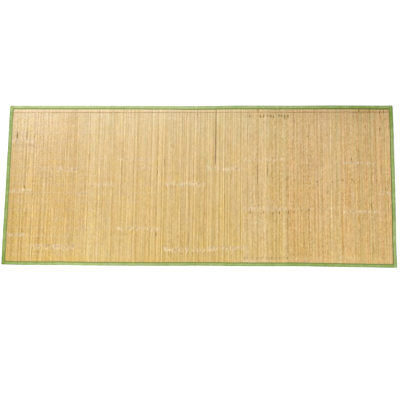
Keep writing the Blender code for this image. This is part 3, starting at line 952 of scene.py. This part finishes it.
def green_cotton():
    """Plain-woven green cotton, matt, with slubs and paler patches, rubbed along the fold. The line
    along its inner lip, where the thread runs, is olive: partly the cloth's own tone, partly painted shade.
    Its fold and outer rim carry painted shade."""
    PALE_GREEN = (0.372, 0.450, 0.190, 1)
    DEEP_GREEN = (0.186, 0.268, 0.054, 1)
    PALE_OLIVE = (0.168, 0.208, 0.046, 1)
    DEEP_OLIVE = (0.078, 0.098, 0.012, 1)
    FOLD_SHADE_TINT = (0.78, 0.78, 0.74, 1)
    RIM_SHADE_TINT = (0.80, 0.82, 0.76, 1)
    RUBBED = (0.50, 0.58, 0.34, 1)
    RUBBED_SHARE = 0.35
    RUBBED_PATCHES = (0.5, 0.8)

    # The weave: how sharply warp and weft change over, the thicker threads, and how far each shows
    WARP_OVER_WEFT = (-0.2, 0.2)
    THREAD_FLATNESS = 0.6
    SLUBS_PER_METRE = (55, 900, 0)
    PATCHES_PER_METRE = (60, 60, 60)
    WEFT_TONE = 0.80
    WARP_PALER = 0.10
    SLUB_PALER = 0.3
    ROUGHNESS = 0.72
    SLUB_ROUGHER = 0.14
    SHEEN = 0.2
    SLUB_RELIEF = 0.5
    WEAVE_DEPTH = 0.09 * MM

    # Masks by the distance from the mat's edge: where each begins and where it is full
    SHADED_FOLD = (6.5 * MM, 3.5 * MM)
    RIM = (3.8 * MM, 0.8 * MM)
    RUBBED_FOLD = (4.0 * MM, 0.5 * MM)

    material, tree, shader, place = fresh_material("green_cotton")
    cloth_place = noted(tree, "cloth_place", "Vector")
    warp, weft, _ = parted(stretched(cloth_place, (WOVEN_THREADS_PER_METRE * math.pi,) * 3))
    crossing = times(calc("SINE", warp), calc("SINE", weft))
    weave = calc("POWER", calc("ABSOLUTE", crossing), THREAD_FLATNESS)
    warp_on_top = eased_mask(crossing, *WARP_OVER_WEFT)
    slub = noise(stretched(cloth_place, SLUBS_PER_METRE))
    patch = noise(stretched(place, PATCHES_PER_METRE), detail=3)
    # Paleness along the strip: partly the cloth's own uneven tone, partly painted light, palest towards the
    # far left
    pale = calc("ADD", noted(tree, "cloth_tone"), calc("SUBTRACT", patch, 0.5))
    colour = mixed(pale, DEEP_GREEN, PALE_GREEN)
    tone = calc("MULTIPLY_ADD", warp_on_top, WARP_PALER, calc("MULTIPLY_ADD", slub, SLUB_PALER, WEFT_TONE))
    colour = mixed(1.0, colour, tone, "MULTIPLY")
    from_edge = noted(tree, "inset")
    fold_shade = noted(tree, "fold_shade")
    # The olive line along the inner lip: partly the thread and cloth's own tone, partly painted shade beside
    # the lip
    olive = mixed(noted(tree, "line_tone"), DEEP_OLIVE, PALE_OLIVE)
    colour = mixed(noted(tree, "lip"), colour, olive)
    # The fold's outer part takes painted shade, where its rounded edge turns away from the light
    fold = times(eased_mask(from_edge, *SHADED_FOLD), fold_shade)
    colour = mixed(fold, colour, FOLD_SHADE_TINT, "MULTIPLY")
    # The outer rim takes painted shade where the fold does not already
    rim = times(eased_mask(from_edge, *RIM), calc("SUBTRACT", 1.0, fold_shade))
    colour = mixed(rim, colour, RIM_SHADE_TINT, "MULTIPLY")
    rub = times(eased_mask(patch, *RUBBED_PATCHES), eased_mask(from_edge, *RUBBED_FOLD))
    colour = mixed(times(rub, RUBBED_SHARE), colour, RUBBED)
    join(colour, shader["Base Color"])
    join(calc("MULTIPLY_ADD", slub, SLUB_ROUGHER, ROUGHNESS), shader["Roughness"])
    shader["Specular IOR Level"].default_value = SHEEN
    bumped(shader, calc("MULTIPLY_ADD", slub, SLUB_RELIEF, weave), WEAVE_DEPTH)
    return material


def frame_edge(name, outward):
    """The frame's strip, read crosswise: places along it, and how far out its outer edge lies there."""
    corners = np.array([vert.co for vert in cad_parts[name].data.vertices])[:, :2]
    out = corners @ np.array(outward)
    along = corners @ abs(np.array(outward))[::-1]
    order = np.argsort(along)
    cuts = np.split(order, np.nonzero(np.diff(along[order]) > CUT_STEP)[0] + 1)
    return np.array([along[cut].mean() for cut in cuts]), np.array([out[cut].max() for cut in cuts])


def strip_places(start, end):
    """Places along a strip: two for each stitch, closer together at its rounded ends and trimmed laps."""
    close = np.array([0, 0.2, 0.6, 1.1, 1.6, 3.0, LAP_TRIMMED / MM - 0.2, LAP_TRIMMED / MM + 0.2]) * MM
    steps = round((end - start - 2 * close[-1]) / STITCH_LENGTH) * 2
    return np.concatenate([start + close, np.linspace(start + close[-1], end - close[-1], steps + 1)[1:-1],
                           (end - close)[::-1]])


def strip_height(from_end, laps):
    """Rise of a strip's upper half over the strip that it laps, by the distance from its own end."""
    return LAP_RISE * (1 - eased_step(from_end, LAP_LEVEL, LAP_LEVEL + LAP_SLOPE)) * laps


cloth_material = green_cotton()
strip_lines = {}
for side, outward, laps in SIDES:
    node_name = f"binding_{side}"
    low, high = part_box(node_name)
    start, end = (low.y, high.y) if laps else (low.x, high.x)
    edge_places, edge_out = frame_edge(node_name, outward)
    if laps:
        edge_places, edge_out = edge_places[1:-1], edge_out[1:-1]
    along = strip_places(start, end)
    fine = np.linspace(start, end, EDGE_PLACES)
    ragged = np.pad(np.interp(fine, edge_places, edge_out), EDGE_SOFTENING, mode="edge")
    window = 2 * EDGE_SOFTENING + 1
    edge = np.interp(along, fine, np.convolve(ragged, np.ones(window) / window, "valid"))
    from_end = np.minimum(along - start, end - along)

    trimmed = laps * (from_end < LAP_TRIMMED)[:, None] * (section_lift == 0)
    short_inset = TRIMMED_INSET + (section_inset - TRIMMED_INSET) * TRIMMED_SHARE
    inset = np.where(trimmed * (section_inset > TRIMMED_INSET), short_inset, section_inset)
    height = section_height + section_lift * strip_height(from_end, laps)[:, None]

    # Unevenness: the inner edge wavers, the stitching pulls the cloth down and puckers it, and each end
    # is rounded
    look_places, *looks = np.array(STRIP_LOOKS[side]).T
    cloth_tone, line_tone, reach, fold_shade = [np.interp(along, look_places * MM, look) for look in looks]
    near_lip = eased_step(section_inset, 6 * MM, 15 * MM)
    inset = inset + near_lip * reach[:, None] * MM * (section_height > UPPER_FROM)
    inset = inset + near_lip * STRIP_WAVER * uneven(along, WAVER_LENGTH)[:, None] * (1 - trimmed)
    pulled_down = np.exp(-((section_inset - STITCH_INSET) / STITCH_PULL) ** 2) * (section_height > TOP_FROM)
    at_hole = np.arange(len(along)) % 2 == 0
    height = height - pulled_down * HOLE_DEPTH * at_hole[:, None]
    on_top = (section_height > TOP_FROM) & (section_inset > MM)
    puckered = np.exp(-((section_inset - PUCKER_MIDDLE) / PUCKER_REACH) ** 2)
    puckers = uneven(along, PUCKER_LENGTH)[:, None] * puckered
    lumps = LUMP_SHARE * uneven(along, LUMP_LENGTH)[:, None]
    height = height + on_top * PUCKER_HEIGHT * (puckers + lumps)
    rounding = 1 - np.sqrt(1 - (1 - np.clip(from_end / END_ROUND[laps], 0, 1)) ** 2)
    inset = inset + END_TURN_IN[laps] * rounding[:, None] * (1 - near_lip)
    height = height - on_top * END_DROP * rounding[:, None]

    out = edge[:, None] - inset
    place_along = np.broadcast_to(along[:, None], out.shape)
    points = np.stack([outward[0] * out + abs(outward[1]) * place_along,
                       outward[1] * out + abs(outward[0]) * place_along, height], axis=-1)
    strip_lines[side] = (along, points)

    # The far and the left strip's sections run the other way round, so that their faces look outwards
    turn = -1 if side in ("far", "left") else 1
    sides, ends = tube_faces(1, len(along), len(STRIP_SECTION))
    strip = mesh_piece(f"binding_strip_{side}", points[:, ::turn], sides + ends, cloth_material, sharp=70)
    girth = np.broadcast_to(section_girth[::turn], out.shape)
    note(strip, "cloth_place", np.stack([place_along, girth, 0 * girth], axis=-1), kind="FLOAT_VECTOR")
    note(strip, "inset", np.broadcast_to(section_inset[::turn], out.shape))
    off_lap = LINE_ON_LAP + (1 - LINE_ON_LAP) * eased_step(from_end, *LINE_OFF_LAP)
    lip = eased_step(section_inset, LINE_FROM[side] * MM, (LINE_FROM[side] + LINE_BLUR) * MM)[::turn]
    note(strip, "lip", off_lap[:, None] * lip)
    cloth_tone = cloth_tone + TONE_CHANCE[laps] * uneven(along, TONE_LENGTH)
    for name, look in (("cloth_tone", cloth_tone), ("line_tone", line_tone), ("fold_shade", fold_shade)):
        note(strip, name, np.broadcast_to(look[:, None], out.shape))
    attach(strip, "root")
    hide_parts(node_name)


# Binding stitches. One row of olive lockstitch holds each strip, a few millimetres from its inner
# edge, through the cloth and the slats. It shows on both faces as short threads sunk in a groove.

STITCH_THREAD = 0.42 * MM
TOP_GROOVE = STRIP_SECTION.index((13.5, 3.58, 1))
BOTTOM_GROOVE = STRIP_SECTION.index((13.5, 0.20, 0))
FIRST_HOLE = 8
STITCHES_FROM_END = 2 * MM
UNDER_LAP_FROM_END = 18 * MM

# A stitch's points. Columns: share of the way from hole to hole, and height over the groove in mm
STITCH_SHAPE = [(0.04, -0.22), (0.2, 0.105), (0.5, 0.126), (0.8, 0.105), (0.96, -0.22)]

olive_thread = sewing_thread("olive_thread", (0.085, 0.105, 0.025, 1), (0.165, 0.195, 0.055, 1), 1500.0)
stitch_paths = []
for side, outward, laps in SIDES:
    along, points = strip_lines[side]
    from_end = np.minimum(along - along[0], along[-1] - along)
    for groove, face in ((TOP_GROOVE, 1), (BOTTOM_GROOVE, -1)):
        margin = UNDER_LAP_FROM_END if laps and face < 0 else STITCHES_FROM_END
        hole = np.arange(FIRST_HOLE, len(along) - FIRST_HOLE - 1, 2)
        hole = hole[from_end[hole] > margin]
        first, middle, last = points[hole, groove], points[hole + 1, groove], points[hole + 2, groove]
        shape = [middle if share == 0.5 else first + (last - first) * share for share, _ in STITCH_SHAPE]
        lift = [[0, 0, face * height * MM] for _, height in STITCH_SHAPE]
        stitch_paths.append(np.stack(shape, axis=1) + lift)
stitch_paths = np.concatenate(stitch_paths)
heading = stitch_paths[:, -1] - stitch_paths[:, 0]
heading /= np.linalg.norm(heading, axis=1)[:, None]
across = np.stack([-heading[:, 1], heading[:, 0], 0 * heading[:, 0]], axis=-1)
stitch_points = thread_rings(stitch_paths, STITCH_THREAD / 2, across[:, None])
stitch_sides, stitch_ends = tube_faces(len(stitch_paths), len(STITCH_SHAPE), THREAD_SIDES)
stitches = mesh_piece("binding_stitches", stitch_points, stitch_sides + stitch_ends, olive_thread, sharp=80)
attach(stitches, "root")


# Studio floor, plain and nearly white.

FLOOR_SIZE = 14.0
FLOOR_BELOW = 0.2 * MM
bpy.ops.mesh.primitive_plane_add(size=FLOOR_SIZE, location=(0, 0, -FLOOR_BELOW))
floor = bpy.context.object
floor.name = "studio_floor"
floor_paint, _, floor_shader, floor_place = fresh_material("white_floor")
floor_tone = noise(stretched(floor_place, (3, 3, 3)), detail=1)
join(mixed(floor_tone, (0.89, 0.89, 0.89, 1), (0.91, 0.91, 0.91, 1)), floor_shader["Base Color"])
floor_shader["Roughness"].default_value = 0.9
floor.data.materials.append(floor_paint)


# Studio light: a long strip light beyond the far side, whose sheen lies on the left end of the
# slats, two softer ones from the near left and the near right, and an even sky.

# Columns: name, place, aimed at, width, height, watts
LIGHTS = [
    ("far_strip_light", (-0.90, 1.60, 3.0), (-0.4, 0.2, 0.0), 3.4, 0.35, 74.0),
    ("near_left_light", (-2.2, -2.2, 3.0), (-0.6, -0.2, 0.0), 2.4, 1.6, 73.0),
    ("near_right_light", (1.6, -2.4, 3.0), (0.3, 0.0, 0.0), 2.4, 1.6, 104.0),
]
SKY_STRENGTH = 0.25

for name, place, aim, width, height, watts in LIGHTS:
    data = bpy.data.lights.new(name, "AREA")
    data.shape = "RECTANGLE"
    data.size = width
    data.size_y = height
    data.energy = watts
    light = bpy.data.objects.new(name, data)
    light.location = place
    light.rotation_mode = "QUATERNION"
    light.rotation_quaternion = (Vector(aim) - Vector(place)).to_track_quat("-Z", "Y")
    light.visible_camera = False
    bpy.context.scene.collection.objects.link(light)
sky = bpy.data.worlds.new("even_sky")
sky.use_nodes = True
sky.node_tree.nodes["Background"].inputs["Strength"].default_value = SKY_STRENGTH
sky.node_tree.nodes["Background"].inputs["Color"].default_value = (1, 1, 1, 1)
bpy.context.scene.world = sky
bpy.context.scene.view_settings.view_transform = "Standard"


# Camera: high above the near long side, a little to the right, turned so that the far side lies
# level in the picture.

CAMERA_AIM = (0.0106, -0.0724, 0.0)
CAMERA_DISTANCE = 4.6713
CAMERA_DOWN = math.radians(78.887)
CAMERA_AZIMUTH = math.radians(-18.814)
CAMERA_ROLL = math.radians(-18.273)
CAMERA_LENS = 90.0
CAMERA_SENSOR = 36.0

camera_data = bpy.data.cameras.new("camera")
camera_data.lens = CAMERA_LENS
camera_data.sensor_width = CAMERA_SENSOR
camera = bpy.data.objects.new("camera", camera_data)
turned = (Matrix.Rotation(-CAMERA_AZIMUTH, 4, "Z") @ Matrix.Rotation(math.pi / 2 - CAMERA_DOWN, 4, "X")
          @ Matrix.Rotation(CAMERA_ROLL, 4, "Z"))
camera.matrix_world = Matrix.Translation(CAMERA_AIM) @ turned @ Matrix.Translation((0, 0, CAMERA_DISTANCE))
bpy.context.scene.collection.objects.link(camera)
bpy.context.scene.camera = camera
